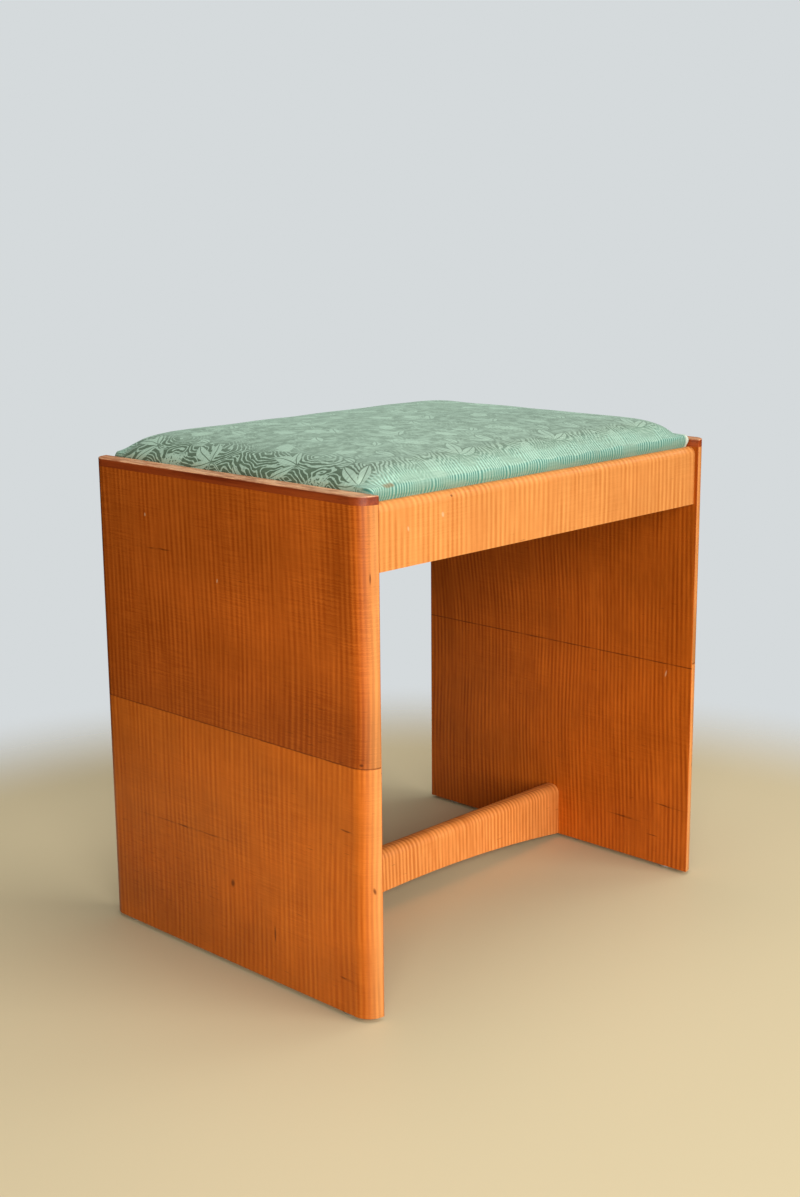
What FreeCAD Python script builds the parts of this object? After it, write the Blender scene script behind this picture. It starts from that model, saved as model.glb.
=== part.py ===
"""Upholstered stool with two slab side panels, a low stretcher and a drop-in seat.

Millimetres. +X is the width, -Y the front, +Z up. The origin is on the floor, in the
middle of the footprint. Every sub-part is a separate solid and goes to parts/NODE.step.
"""
import FreeCAD, Part
import math
import os

V = FreeCAD.Vector

# ---- driving dimensions: the stool ----
WIDTH = 488.0            # over the outer faces of the side panels
DEPTH = 364.0            # front edge to back edge of a side panel
HEIGHT = 460.0           # floor to the top of the cap strips
PANEL_T = 18.0           # side panel, veneers included
EDGE_R = 17.0            # rounding of a panel's outer front and back edges
CAP_H = 7.5              # solid cap strip on top of each panel
GLIDE_H = 3.5            # the glides lift the panels this far off the floor
VENEER_T = 0.8
OUTER_JOINT_Z = 229.5    # where the two outer leaves of a panel meet
INNER_JOINT_Z = 224.5    # where the two inner leaves meet

# ---- aprons ----
APRON_T = 20.0
APRON_BOTTOM = 395.0
APRON_RECESS = 3.5       # the apron's face stands this far back from the panel's edge
LIP_W = 8.8              # lip left standing in front of the seat rebate
LIP_R = 8.0              # rounding of the lip's outer top edge
LEDGE_Z = 441.0          # rebate floor, which the seat rests on

# ---- stretcher ----
STRETCHER_T = 22.0
STRETCHER_TOP = 59.5
STRETCHER_R = 9.0        # rounding of its two top edges
ARCH_RISE = 15.0         # rise of the arch cut in its lower edge

# ---- hidden joinery ----
DOWEL_R = 4.0
DOWEL_IN_PANEL = 12.0
DOWEL_IN_RAIL = 24.0
APRON_DOWEL_Z = (408.0, 430.0)
STRETCHER_DOWEL_Z = (20.0, 44.0)
BLOCK_LEG = 34.0         # triangular glue block in each corner under the seat
BLOCK_H = 40.0
LEDGER_T = 12.0          # batten that carries the seat along each panel
LEDGER_H = 20.0
LEDGER_SCREW_Y = (-95.0, 0.0, 95.0)
SCREW_R = 1.75
SCREW_HEAD_R = 3.5
SCREW_L = 25.0
SCREW_POINT_L = 4.0

# ---- glides ----
GLIDE_R = 7.5
GLIDE_FROM_EDGE = 31.0   # glide centre to the panel's front or back edge
GLIDE_BEVEL = 1.0
NAIL_R = 1.2
NAIL_L = 14.0

# ---- drop-in seat ----
SEAT_GAP = 1.0           # clearance all round between the covered seat and the stool
COVER_T = 1.2
SEAT_TOP = 487.0         # top of the crowned cushion
SEAT_CORNER_R = 7.0
ROLL_W = 50.0            # width of the rounded roll round the cushion's top
RAIL_H = 20.0
RAIL_W = 45.0
TURN_UNDER = 24.0        # cover turned under the rails
FRAME_DOWEL_L = 50.0
FRAME_DOWEL_OFF = 11.0   # two dowels in each corner, this far each side of the middle
WEB_T = 1.2
WEB_W = 50.0
WEB_FROM_EDGE = 9.0      # webbing stops this far inside the frame's outer edge
WEB_RAMP = 8.0
LENGTHWISE_Y = (-75.0, 0.0, 75.0)
CROSSWISE_X = (-129.0, -43.0, 43.0, 129.0)
HESSIAN_T = 0.8
HESSIAN_FROM_EDGE = 4.0
TACK_L = 9.0
TACK_R = 0.7
WEB_TACK_HEAD_R = 3.0
COVER_TACK_HEAD_R = 3.2
TACK_HEAD_H = 0.6
WEB_TACK_OFFSETS = (-17.0, 0.0, 17.0)
WEB_TACK_FROM_END = 10.0
COVER_TACK_IN = 17.0     # cover tacks stand this far inside the cover's outer edge
COVER_TACK_X = [-171.0 + 38.0 * i for i in range(10)]
COVER_TACK_Y = [-114.0 + 38.0 * i for i in range(7)]

# ---- worked out from the above ----
INNER_X = WIDTH / 2 - PANEL_T
CAP_Z = HEIGHT - CAP_H
APRON_FACE_Y = DEPTH / 2 - APRON_RECESS
APRON_BACK_Y = APRON_FACE_Y - APRON_T
LIP_INNER_Y = APRON_FACE_Y - LIP_W
SEAT_X = INNER_X - SEAT_GAP
SEAT_Y = LIP_INNER_Y - SEAT_GAP
RAIL_Z = LEDGE_Z + COVER_T
WEB_Z = RAIL_Z + RAIL_H
HESSIAN_Z = WEB_Z + 2 * WEB_T
PADDING_Z = HESSIAN_Z + HESSIAN_T
RAIL_X = SEAT_X - COVER_T
RAIL_Y = SEAT_Y - COVER_T
EDGE_EASE = 0.5
CAP_EASE = 0.8
TINY = 1e-4


# ---- helpers ----
def block(x, y, z):
    """Square-edged block between the (low, high) pairs of its three axes."""
    return Part.makeBox(x[1] - x[0], y[1] - y[0], z[1] - z[0], V(x[0], y[0], z[0]))


def prism(corners, sweep):
    """Straight-sided solid: a closed polygon of points, swept along a vector."""
    return Part.Face(Part.makePolygon(corners + corners[:1])).extrude(sweep)


def ease(shape, radius, wanted):
    """Round the edges that the test picks out."""
    return shape.makeFillet(radius, [edge for edge in shape.Edges if wanted(edge)])


def upright(edge):
    return edge.BoundBox.XLength < TINY and edge.BoundBox.YLength < TINY


def mirror_x(shape):
    return shape.mirror(V(0, 0, 0), V(1, 0, 0))


def mirror_y(shape):
    return shape.mirror(V(0, 0, 0), V(0, 1, 0))


def group(shapes):
    return Part.makeCompound(shapes)


def cut_all(shape, tools):
    for tool in tools:
        shape = shape.cut(tool)
    return shape


# ---- right-hand side panel; the left one is its mirror image ----
def panel_form(skin, z_low, z_high):
    """Panel plan, set in by skin at the outer face: outer edges rounded, inner ones crisp."""
    outer_x = WIDTH / 2 - skin
    half_depth = DEPTH / 2 - skin
    form = block((INNER_X, outer_x), (-half_depth, half_depth), (z_low, z_high))
    form = ease(form, EDGE_R - skin, lambda e: upright(e) and e.CenterOfMass.x > outer_x - TINY)
    return form


def inner_leaf(z_low, z_high):
    """Veneer leaf on the inner face, its two upright edges eased by hand."""
    leaf = block((INNER_X, INNER_X + VENEER_T), (-DEPTH / 2, DEPTH / 2), (z_low, z_high))
    return ease(leaf, EDGE_EASE, lambda e: upright(e) and e.CenterOfMass.x < INNER_X + TINY)


def panel_core():
    inner_zone = block((INNER_X, INNER_X + VENEER_T), (-DEPTH, DEPTH), (0, HEIGHT))
    return panel_form(VENEER_T, GLIDE_H, CAP_Z).cut(inner_zone)


def outer_leaf(z_low, z_high):
    """Veneer leaf that covers the outer face and wraps round both rounded edges."""
    inner_zone = block((INNER_X, INNER_X + VENEER_T), (-DEPTH, DEPTH), (0, HEIGHT))
    form = panel_form(0, z_low, z_high)
    return form.cut(panel_form(VENEER_T, z_low, z_high)).cut(inner_zone)


def cap_strip():
    strip = panel_form(0, CAP_Z, HEIGHT)
    return ease(strip, CAP_EASE, lambda e: e.BoundBox.ZMin > HEIGHT - TINY)


# ---- front apron; the back one is its mirror image ----
def apron_form(skin):
    """Apron with a rounded lip and the seat rebate, set in by skin at the face and top."""
    face_y = -APRON_FACE_Y + skin
    top_z = CAP_Z - skin
    radius = LIP_R - skin
    corner = radius * math.sqrt(0.5)
    x = -INNER_X
    round_start = V(x, face_y, top_z - radius)
    round_mid = V(x, face_y + radius - corner, top_z - radius + corner)
    round_end = V(x, face_y + radius, top_z)
    square = [
        round_end,
        V(x, -LIP_INNER_Y, top_z),
        V(x, -LIP_INNER_Y, LEDGE_Z),
        V(x, -APRON_BACK_Y, LEDGE_Z),
        V(x, -APRON_BACK_Y, APRON_BOTTOM),
        V(x, face_y, APRON_BOTTOM),
        round_start,
    ]
    edges = [Part.LineSegment(a, b).toShape() for a, b in zip(square, square[1:])]
    edges.append(Part.Arc(round_start, round_mid, round_end).toShape())
    return Part.Face(Part.Wire(edges)).extrude(V(2 * INNER_X, 0, 0))


# ---- stretcher ----
def stretcher_form(skin):
    """Board with two rounded top edges and an arched lower edge."""
    half = STRETCHER_T / 2 - skin
    top = STRETCHER_TOP - skin
    board = block((-INNER_X, INNER_X), (-half, half), (GLIDE_H, top))
    board = ease(board, STRETCHER_R - skin,
                 lambda e: e.BoundBox.ZMin > top - TINY and e.BoundBox.XLength > INNER_X)
    arch_r = (INNER_X ** 2 + ARCH_RISE ** 2) / (2 * ARCH_RISE)
    centre = V(0, -STRETCHER_T, GLIDE_H + ARCH_RISE - arch_r)
    return board.cut(Part.makeCylinder(arch_r, 2 * STRETCHER_T, centre, V(0, 1, 0)))


# ---- fasteners and hidden pieces ----
def dowels(y, heights):
    """Dowels across both ends of a rail, sunk in the rail and in the panels."""
    length = DOWEL_IN_PANEL + DOWEL_IN_RAIL
    right = [Part.makeCylinder(DOWEL_R, length, V(INNER_X - DOWEL_IN_RAIL, y, z), V(1, 0, 0))
             for z in heights]
    return right + [mirror_x(dowel) for dowel in right]


def ledger_screw(y):
    """Countersunk wood screw, driven from inside the stool into the right-hand panel."""
    z = LEDGE_Z - LEDGER_H / 2
    start = INNER_X - LEDGER_T
    head_h = SCREW_HEAD_R - SCREW_R
    head = Part.makeCone(SCREW_HEAD_R, SCREW_R, head_h, V(start, y, z), V(1, 0, 0))
    shank_l = SCREW_L - head_h - SCREW_POINT_L
    shank = Part.makeCylinder(SCREW_R, shank_l, V(start + head_h, y, z), V(1, 0, 0))
    point = Part.makeCone(SCREW_R, 0, SCREW_POINT_L, V(start + head_h + shank_l, y, z), V(1, 0, 0))
    return head.fuse(shank).fuse(point).removeSplitter()


def seat_ledger():
    """Batten screwed to the right-hand panel between the glue blocks."""
    half = APRON_BACK_Y - BLOCK_LEG
    return block((INNER_X - LEDGER_T, INNER_X), (-half, half), (LEDGE_Z - LEDGER_H, LEDGE_Z))


def corner_block():
    """Triangular glue block in the front right corner."""
    z = LEDGE_Z - BLOCK_H
    corners = [
        V(INNER_X, -APRON_BACK_Y, z),
        V(INNER_X, -APRON_BACK_Y + BLOCK_LEG, z),
        V(INNER_X - BLOCK_LEG, -APRON_BACK_Y, z),
    ]
    return prism(corners, V(0, 0, BLOCK_H))


def glide():
    """Nail-on glide under the front end of the right-hand panel."""
    x = INNER_X + PANEL_T / 2
    y = -DEPTH / 2 + GLIDE_FROM_EDGE
    foot = Part.makeCylinder(GLIDE_R, GLIDE_H - GLIDE_BEVEL, V(x, y, GLIDE_BEVEL))
    sole = Part.makeCone(GLIDE_R - GLIDE_BEVEL, GLIDE_R, GLIDE_BEVEL, V(x, y, 0))
    nail = Part.makeCylinder(NAIL_R, NAIL_L, V(x, y, GLIDE_H))
    return foot.fuse(sole).fuse(nail).removeSplitter()


# ---- drop-in seat ----
def rounded_plan(half_x, half_y, radius, z):
    """Closed wire: a rectangle with rounded corners, centred on the origin."""
    sheet = block((-half_x, half_x), (-half_y, half_y), (z, z + 1))
    sheet = ease(sheet, radius, upright)
    floor = min(sheet.Faces, key=lambda face: face.CenterOfMass.z)
    return floor.OuterWire


def seat_form(skin):
    """The covered seat, set in by skin: straight sides and a rounded roll up to the top."""
    def plan(inset, z):
        return rounded_plan(SEAT_X - inset, SEAT_Y - inset, SEAT_CORNER_R + inset / 2 - skin / 2, z)

    sides = [plan(skin, LEDGE_Z + skin), plan(skin, WEB_Z)]
    roll_h = SEAT_TOP - skin - WEB_Z
    roll = []
    for degrees in (25, 50, 70, 85):
        angle = math.radians(degrees)
        roll.append(plan(skin + ROLL_W * (1 - math.cos(angle)), WEB_Z + roll_h * math.sin(angle)))
    return Part.makeLoft(sides + roll, True, True)


def seat_cover():
    """Cover cloth: over the cushion, down the sides and turned under the rails."""
    opening = block((-SEAT_X + TURN_UNDER, SEAT_X - TURN_UNDER),
                    (-SEAT_Y + TURN_UNDER, SEAT_Y - TURN_UNDER), (0, RAIL_Z))
    return seat_form(0).cut(seat_form(COVER_T)).cut(opening)


def seat_padding():
    above = block((-WIDTH, WIDTH), (-DEPTH, DEPTH), (PADDING_Z, HEIGHT + PANEL_T * 2))
    return seat_form(COVER_T).common(above)


def seat_rails():
    """Front, back, left and right rails, with the frame's outer corners rounded."""
    rounding = seat_form(COVER_T)
    top = (RAIL_Z, WEB_Z)
    long_rail = block((-RAIL_X, RAIL_X), (-RAIL_Y, -RAIL_Y + RAIL_W), top).common(rounding)
    side_half = RAIL_Y - RAIL_W
    side_rail = block((RAIL_X - RAIL_W, RAIL_X), (-side_half, side_half), top)
    return {
        "front": long_rail,
        "back": mirror_y(long_rail),
        "left": mirror_x(side_rail),
        "right": side_rail,
    }


def frame_dowels():
    """Two dowels in each corner of the seat frame."""
    rail_middle = RAIL_X - RAIL_W / 2
    start_y = -RAIL_Y + RAIL_W - FRAME_DOWEL_L / 2
    corner = [Part.makeCylinder(DOWEL_R, FRAME_DOWEL_L, V(rail_middle + off, start_y, RAIL_Z + RAIL_H / 2),
                                V(0, 1, 0))
              for off in (-FRAME_DOWEL_OFF, FRAME_DOWEL_OFF)]
    front = corner + [mirror_x(dowel) for dowel in corner]
    return front + [mirror_y(dowel) for dowel in front]


def crosswise_web(x):
    """Front-to-back strip of webbing, flat on the front and back rails."""
    half = RAIL_Y - WEB_FROM_EDGE
    return block((x - WEB_W / 2, x + WEB_W / 2), (-half, half), (WEB_Z, WEB_Z + WEB_T))


def lengthwise_web(y):
    """Side-to-side strip: its ends lie on the side rails, its middle over the crosswise strips."""
    end = RAIL_X - WEB_FROM_EDGE
    ramp = RAIL_X - RAIL_W - WEB_RAMP / 2
    low = [(-end, 0), (-ramp, 0), (-ramp + WEB_RAMP, WEB_T), (ramp - WEB_RAMP, WEB_T), (ramp, 0), (end, 0)]
    high = [(x, z + WEB_T) for x, z in reversed(low)]
    corners = [V(x, y - WEB_W / 2, WEB_Z + z) for x, z in low + high]
    return prism(corners, V(0, WEB_W, 0))


def tack(head_r, x, y, z, up):
    """Tack with its head's inner face at z, driven down (up is 1) or up into a rail (up is -1)."""
    head = Part.makeCylinder(head_r, TACK_HEAD_H, V(x, y, z), V(0, 0, up))
    shank = Part.makeCylinder(TACK_R, TACK_L, V(x, y, z), V(0, 0, -up))
    return head.fuse(shank).removeSplitter()


def webbing_tacks():
    z = WEB_Z + WEB_T
    end_x = RAIL_X - WEB_FROM_EDGE - WEB_TACK_FROM_END
    end_y = RAIL_Y - WEB_FROM_EDGE - WEB_TACK_FROM_END
    places = []
    for offset in WEB_TACK_OFFSETS:
        places += [(side * end_x, y + offset) for y in LENGTHWISE_Y for side in (-1, 1)]
        places += [(x + offset, side * end_y) for x in CROSSWISE_X for side in (-1, 1)]
    return [tack(WEB_TACK_HEAD_R, x, y, z, 1) for x, y in places]


def cover_tacks():
    """Tacks that hold the turned-under cover to the underside of the rails."""
    row_x = SEAT_X - COVER_TACK_IN
    row_y = SEAT_Y - COVER_TACK_IN
    places = [(x, side * row_y) for x in COVER_TACK_X for side in (-1, 1)]
    places += [(side * row_x, y) for y in COVER_TACK_Y for side in (-1, 1)]
    return [tack(COVER_TACK_HEAD_R, x, y, LEDGE_Z, -1) for x, y in places]


# ---- the nodes ----
def panel_nodes(joint_holes):
    """Core, four veneer leaves and cap strip of each side panel."""
    right = {
        "panel_core": panel_core(),
        "panel_outer_veneer_upper": outer_leaf(OUTER_JOINT_Z, CAP_Z),
        "panel_outer_veneer_lower": outer_leaf(GLIDE_H, OUTER_JOINT_Z),
        "panel_inner_veneer_upper": inner_leaf(INNER_JOINT_Z, CAP_Z),
        "panel_inner_veneer_lower": inner_leaf(GLIDE_H, INNER_JOINT_Z),
        "cap_strip": cap_strip(),
    }
    nodes = {}
    for name, shape in right.items():
        bored = cut_all(shape, joint_holes)
        nodes["right_" + name] = bored
        nodes["left_" + name] = mirror_x(bored)
    return nodes


def apron_nodes(holes):
    front_core = apron_form(VENEER_T)
    front_veneer = apron_form(0).cut(front_core)
    front_core = cut_all(front_core, holes)
    return {
        "front_apron_core": front_core,
        "front_apron_veneer": front_veneer,
        "back_apron_core": mirror_y(front_core),
        "back_apron_veneer": mirror_y(front_veneer),
    }


def stretcher_nodes(holes):
    core = stretcher_form(VENEER_T)
    return {
        "stretcher_veneer": stretcher_form(0).cut(core),
        "stretcher_core": cut_all(core, holes),
    }


def corner_nodes():
    """One glue block and one glide at each corner of the stool."""
    nodes = {}
    for name, shape in (("corner_block", corner_block()), ("glide", glide())):
        nodes[name + "_front_right"] = shape
        nodes[name + "_front_left"] = mirror_x(shape)
        nodes[name + "_back_right"] = mirror_y(shape)
        nodes[name + "_back_left"] = mirror_x(mirror_y(shape))
    return nodes


def frame_nodes():
    """Everything that stays put when the seat is lifted out."""
    apron_mid_y = -APRON_FACE_Y + APRON_T / 2
    front_dowels = dowels(apron_mid_y, APRON_DOWEL_Z)
    apron_dowels = front_dowels + [mirror_y(dowel) for dowel in front_dowels]
    stretcher_dowels = dowels(0, STRETCHER_DOWEL_Z)
    screws = [ledger_screw(y) for y in LEDGER_SCREW_Y]
    corners = corner_nodes()
    glides = [shape for name, shape in corners.items() if name.startswith("glide")]
    nodes = panel_nodes(apron_dowels + stretcher_dowels + screws + glides)
    nodes.update(apron_nodes(front_dowels))
    nodes.update(stretcher_nodes(stretcher_dowels))
    nodes.update(corners)
    ledger = cut_all(seat_ledger(), screws)
    nodes["right_seat_ledger"] = ledger
    nodes["left_seat_ledger"] = mirror_x(ledger)
    nodes["ledger_screws"] = group(screws + [mirror_x(screw) for screw in screws])
    nodes["apron_dowels"] = group(apron_dowels)
    nodes["stretcher_dowels"] = group(stretcher_dowels)
    return nodes


def seat_nodes():
    """Everything that lifts out with the seat."""
    dowel_set = frame_dowels()
    web_tacks = webbing_tacks()
    tacks = cover_tacks()
    nodes = {"seat_rail_" + side: cut_all(rail, dowel_set + web_tacks + tacks)
             for side, rail in seat_rails().items()}
    lengthwise = [cut_all(lengthwise_web(y), web_tacks) for y in LENGTHWISE_Y]
    crosswise = [cut_all(crosswise_web(x), web_tacks) for x in CROSSWISE_X]
    hessian_x = RAIL_X - HESSIAN_FROM_EDGE
    hessian_y = RAIL_Y - HESSIAN_FROM_EDGE
    nodes["seat_frame_dowels"] = group(dowel_set)
    nodes["webbing_lengthwise"] = group(lengthwise)
    nodes["webbing_crosswise"] = group(crosswise)
    nodes["webbing_tacks"] = group(web_tacks)
    nodes["seat_hessian"] = block((-hessian_x, hessian_x), (-hessian_y, hessian_y), (HESSIAN_Z, PADDING_Z))
    nodes["seat_padding"] = seat_padding()
    nodes["seat_cover"] = cut_all(seat_cover(), tacks)
    nodes["cover_tacks"] = group(tacks)
    return nodes


def main():
    os.makedirs("parts", exist_ok=True)
    nodes = frame_nodes()
    nodes.update(seat_nodes())
    for name, shape in nodes.items():
        shape.exportStep("parts/" + name + ".step")
        print(name, len(shape.Solids), round(shape.Volume, 1), shape.isValid())


main()
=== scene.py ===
"""Looks for the upholstered stool: veneered slab sides, aprons, stretcher and a damask seat.

Metres. +X is the width, -Y the front, +Z up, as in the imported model.
"""
import math

import bmesh
import bpy
import numpy as np
from mathutils import Matrix, Vector


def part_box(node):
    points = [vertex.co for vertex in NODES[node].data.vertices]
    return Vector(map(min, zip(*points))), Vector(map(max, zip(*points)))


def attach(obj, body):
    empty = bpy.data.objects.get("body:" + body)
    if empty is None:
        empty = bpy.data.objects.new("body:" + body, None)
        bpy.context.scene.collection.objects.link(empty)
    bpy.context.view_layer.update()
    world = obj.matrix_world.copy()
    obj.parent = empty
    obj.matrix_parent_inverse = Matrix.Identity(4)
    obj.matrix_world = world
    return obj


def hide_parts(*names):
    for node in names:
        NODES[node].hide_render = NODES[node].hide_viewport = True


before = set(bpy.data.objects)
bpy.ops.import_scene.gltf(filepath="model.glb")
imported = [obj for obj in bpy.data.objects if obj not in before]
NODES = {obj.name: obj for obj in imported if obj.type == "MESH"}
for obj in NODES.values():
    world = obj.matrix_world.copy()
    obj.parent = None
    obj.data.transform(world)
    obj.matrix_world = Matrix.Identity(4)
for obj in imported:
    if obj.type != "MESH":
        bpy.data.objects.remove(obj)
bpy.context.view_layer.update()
MM = 0.001

# ---- camera: where the photographer stood ----
CAMERA_AT = Vector((-1.19837, -1.14479, 0.68380))
CAMERA_YAW = math.radians(45.973)
CAMERA_PITCH = math.radians(-12.739)
CAMERA_ROLL = math.radians(-0.487)
CAMERA_LENS = 51.52

# ---- places on the stool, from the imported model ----
OUTER_LOW, OUTER_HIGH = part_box("left_panel_outer_veneer_lower")
OUTER_X = -OUTER_LOW.x
OUTER_JOINT_Z = OUTER_HIGH.z
INNER_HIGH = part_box("left_panel_inner_veneer_lower")[1]
INNER_X = -INNER_HIGH.x
INNER_JOINT_Z = INNER_HIGH.z
COVER_LOW, COVER_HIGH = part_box("seat_cover")
SEAT_X = COVER_HIGH.x
SEAT_Y = COVER_HIGH.y
SEAT_BOTTOM = COVER_LOW.z
CAP_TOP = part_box("left_cap_strip")[1].z
LIP_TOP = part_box("front_apron_veneer")[1].z
RAIL_LOW, RAIL_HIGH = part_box("seat_rail_front")
RAIL_TOP = RAIL_HIGH.z
PADDING_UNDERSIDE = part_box("seat_hessian")[1].z


# ---- shader graphs ----
class Graph:
    """A material's nodes, written as expressions. Values are sockets, numbers or tuples."""

    def __init__(self, name):
        self.material = bpy.data.materials.new(name)
        self.material.use_nodes = True
        self.tree = self.material.node_tree
        self.tree.nodes.clear()

    def node(self, kind, inputs=(), **settings):
        """A new node. inputs pairs a socket's name or number with what goes into it."""
        made = self.tree.nodes.new(kind)
        for key, value in settings.items():
            setattr(made, key, value)
        for key, value in inputs:
            self.feed(made.inputs[key], value)
        return made

    def feed(self, socket, value):
        if isinstance(value, bpy.types.NodeSocket):
            self.tree.links.new(value, socket)
        elif isinstance(value, tuple) and len(value) == 3 and socket.type == "RGBA":
            socket.default_value = (*value, 1.0)
        else:
            socket.default_value = value

    def math(self, operation, *values, clamp=False):
        made = self.node("ShaderNodeMath", enumerate(values), operation=operation, use_clamp=clamp)
        return made.outputs[0]

    def clamp(self, value):
        return self.math("MULTIPLY", value, 1.0, clamp=True)

    def minus(self, first, second):
        return self.math("SUBTRACT", first, second)

    def centred(self, value):
        """A noise or wave from 0 to 1, moved down to swing about 0."""
        return self.minus(value, 0.5)

    def fold(self, operation, values, *constants):
        """One value from many, taken two at a time."""
        total = values[0]
        for value in values[1:]:
            total = self.math(operation, total, value, *constants)
        return total

    def add(self, *values):
        return self.fold("ADD", values)

    def times(self, *values):
        return self.fold("MULTIPLY", values)

    def vector(self, operation, *values, output=0):
        return self.node("ShaderNodeVectorMath", enumerate(values), operation=operation).outputs[output]

    def combine(self, x, y, z):
        return self.node("ShaderNodeCombineXYZ", enumerate((x, y, z))).outputs[0]

    def split(self, vector):
        return tuple(self.node("ShaderNodeSeparateXYZ", ((0, vector),)).outputs)

    def place(self):
        """The point on the object, in metres."""
        return self.node("ShaderNodeTexCoord").outputs["Object"]

    def attribute(self, name):
        return self.node("ShaderNodeAttribute", attribute_name=name).outputs["Vector"]

    def noise(self, vector, scale=1.0, detail=2.0, roughness=0.5):
        inputs = {"Vector": vector, "Scale": scale, "Detail": detail, "Roughness": roughness}
        return self.node("ShaderNodeTexNoise", inputs.items(), noise_dimensions="3D").outputs["Fac"]

    def streaks(self, u, v, scale_u, scale_v, seed, **settings):
        """Noise on a face, with a scale of its own along each direction."""
        return self.noise(self.combine(self.times(u, scale_u), self.times(v, scale_v), seed), **settings)

    def cells(self, vector, scale):
        """Distance from the nearest of scattered points."""
        inputs = {"Vector": vector, "Scale": scale, "Randomness": 1.0}
        return self.node("ShaderNodeTexVoronoi", inputs.items(), feature="F1").outputs["Distance"]

    def between(self, value, low, high, start=0.0, end=1.0, smooth=True):
        """Runs from start to end as value goes from low to high."""
        curve = "SMOOTHSTEP" if smooth else "LINEAR"
        inputs = {"Value": value, "From Min": low, "From Max": high, "To Min": start, "To Max": end}
        made = self.node("ShaderNodeMapRange", inputs.items(), interpolation_type=curve, clamp=True)
        return made.outputs["Result"]

    def mix(self, share, first, second):
        inputs = {"Factor": share, 6: first, 7: second}
        return self.node("ShaderNodeMix", inputs.items(), data_type="RGBA", blend_type="MIX").outputs[2]

    def shade(self, colour, amount):
        """The colour made lighter or darker by a factor."""
        return self.vector("MULTIPLY", colour, self.combine(amount, amount, amount))

    def turned(self, across, along, angle):
        """The same two distances, measured along and across a line at an angle in degrees."""
        turn = math.radians(angle)
        return (self.add(self.times(across, math.cos(turn)), self.times(along, math.sin(turn))),
                self.add(self.times(along, math.cos(turn)), self.times(across, -math.sin(turn))))

    def reach(self, across, along, half_across, half_along):
        """Distance from the middle of an ellipse with these half axes in millimetres: 1 on its outline."""
        half = (half_across * MM, half_along * MM, 1.0)
        return self.vector("LENGTH", self.vector("DIVIDE", self.combine(across, along, 0.0), half), output=1)

    def bump(self, height, depth, strength):
        inputs = {"Height": height, "Distance": depth, "Strength": strength}
        return self.node("ShaderNodeBump", inputs.items()).outputs["Normal"]

    def surface(self, colour, roughness, normal=None, **constants):
        inputs = {"Base Color": colour, "Roughness": roughness}
        if normal is not None:
            inputs["Normal"] = normal
        for key, value in constants.items():
            inputs[key.replace("_", " ")] = value
        shader = self.node("ShaderNodeBsdfPrincipled", inputs.items())
        self.node("ShaderNodeOutputMaterial", (("Surface", shader.outputs[0]),))
        return self.material


def paint(material, *names):
    for name in names:
        slots = NODES[name].data.materials
        slots.clear()
        slots.append(material)


# ---- wood ----
# light and dark tones of each veneer's ripple
UPPER_LIGHT = (0.63, 0.142, 0.0125)
UPPER_DARK = (0.40, 0.070, 0.0028)
LOWER_LIGHT = (0.70, 0.176, 0.0150)
LOWER_DARK = (0.48, 0.092, 0.0030)
INNER_LIGHT = (0.65, 0.148, 0.0100)
INNER_DARK = (0.38, 0.066, 0.0016)
RAIL_LIGHT = (0.80, 0.325, 0.085)
RAIL_DARK = (0.57, 0.185, 0.036)
STRETCHER_LIGHT = (0.84, 0.312, 0.078)
STRETCHER_DARK = (0.60, 0.176, 0.031)
EDGE_PAINTED_HIGHLIGHT = (0.74, 0.300, 0.085)  # painted highlight on the rounded edges, which face the light
CHIP_COLOUR = (0.75, 0.48, 0.28)  # bare wood in small chips
CAP_LIGHT = (0.40, 0.070, 0.0095)
CAP_DARK = (0.19, 0.024, 0.003)
# the cap's top: partly rubbed wear, partly a painted reflection
CAP_TOP_WEAR_AND_REFLECTION = (0.86, 0.45, 0.23)
CORE_TONES = ((0.55, 0.33, 0.15), (0.36, 0.19, 0.075))
BATTEN_TONES = ((0.60, 0.40, 0.20), (0.42, 0.25, 0.11))
DOWEL_TONES = ((0.62, 0.44, 0.24), (0.48, 0.31, 0.15))
BEECH_TONES = ((0.63, 0.42, 0.21), (0.45, 0.27, 0.12))
LONG_MARK = 4.0  # half length in millimetres from which a mark is broken up


def faded(colour, share):
    return tuple(c * share for c in colour)


def mark(g, across, along, place, tilt=0.0, soft=0.6):
    """1 inside an ellipse on a face, 0 outside, with a soft edge. place is its middle and half axes."""
    away = g.turned(g.minus(across, place[0] * MM), g.minus(along, place[1] * MM), tilt)
    return g.between(g.reach(*away, *place[2:]), 1.0 - soft, 1.0 + soft, 1.0, 0.0)


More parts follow.
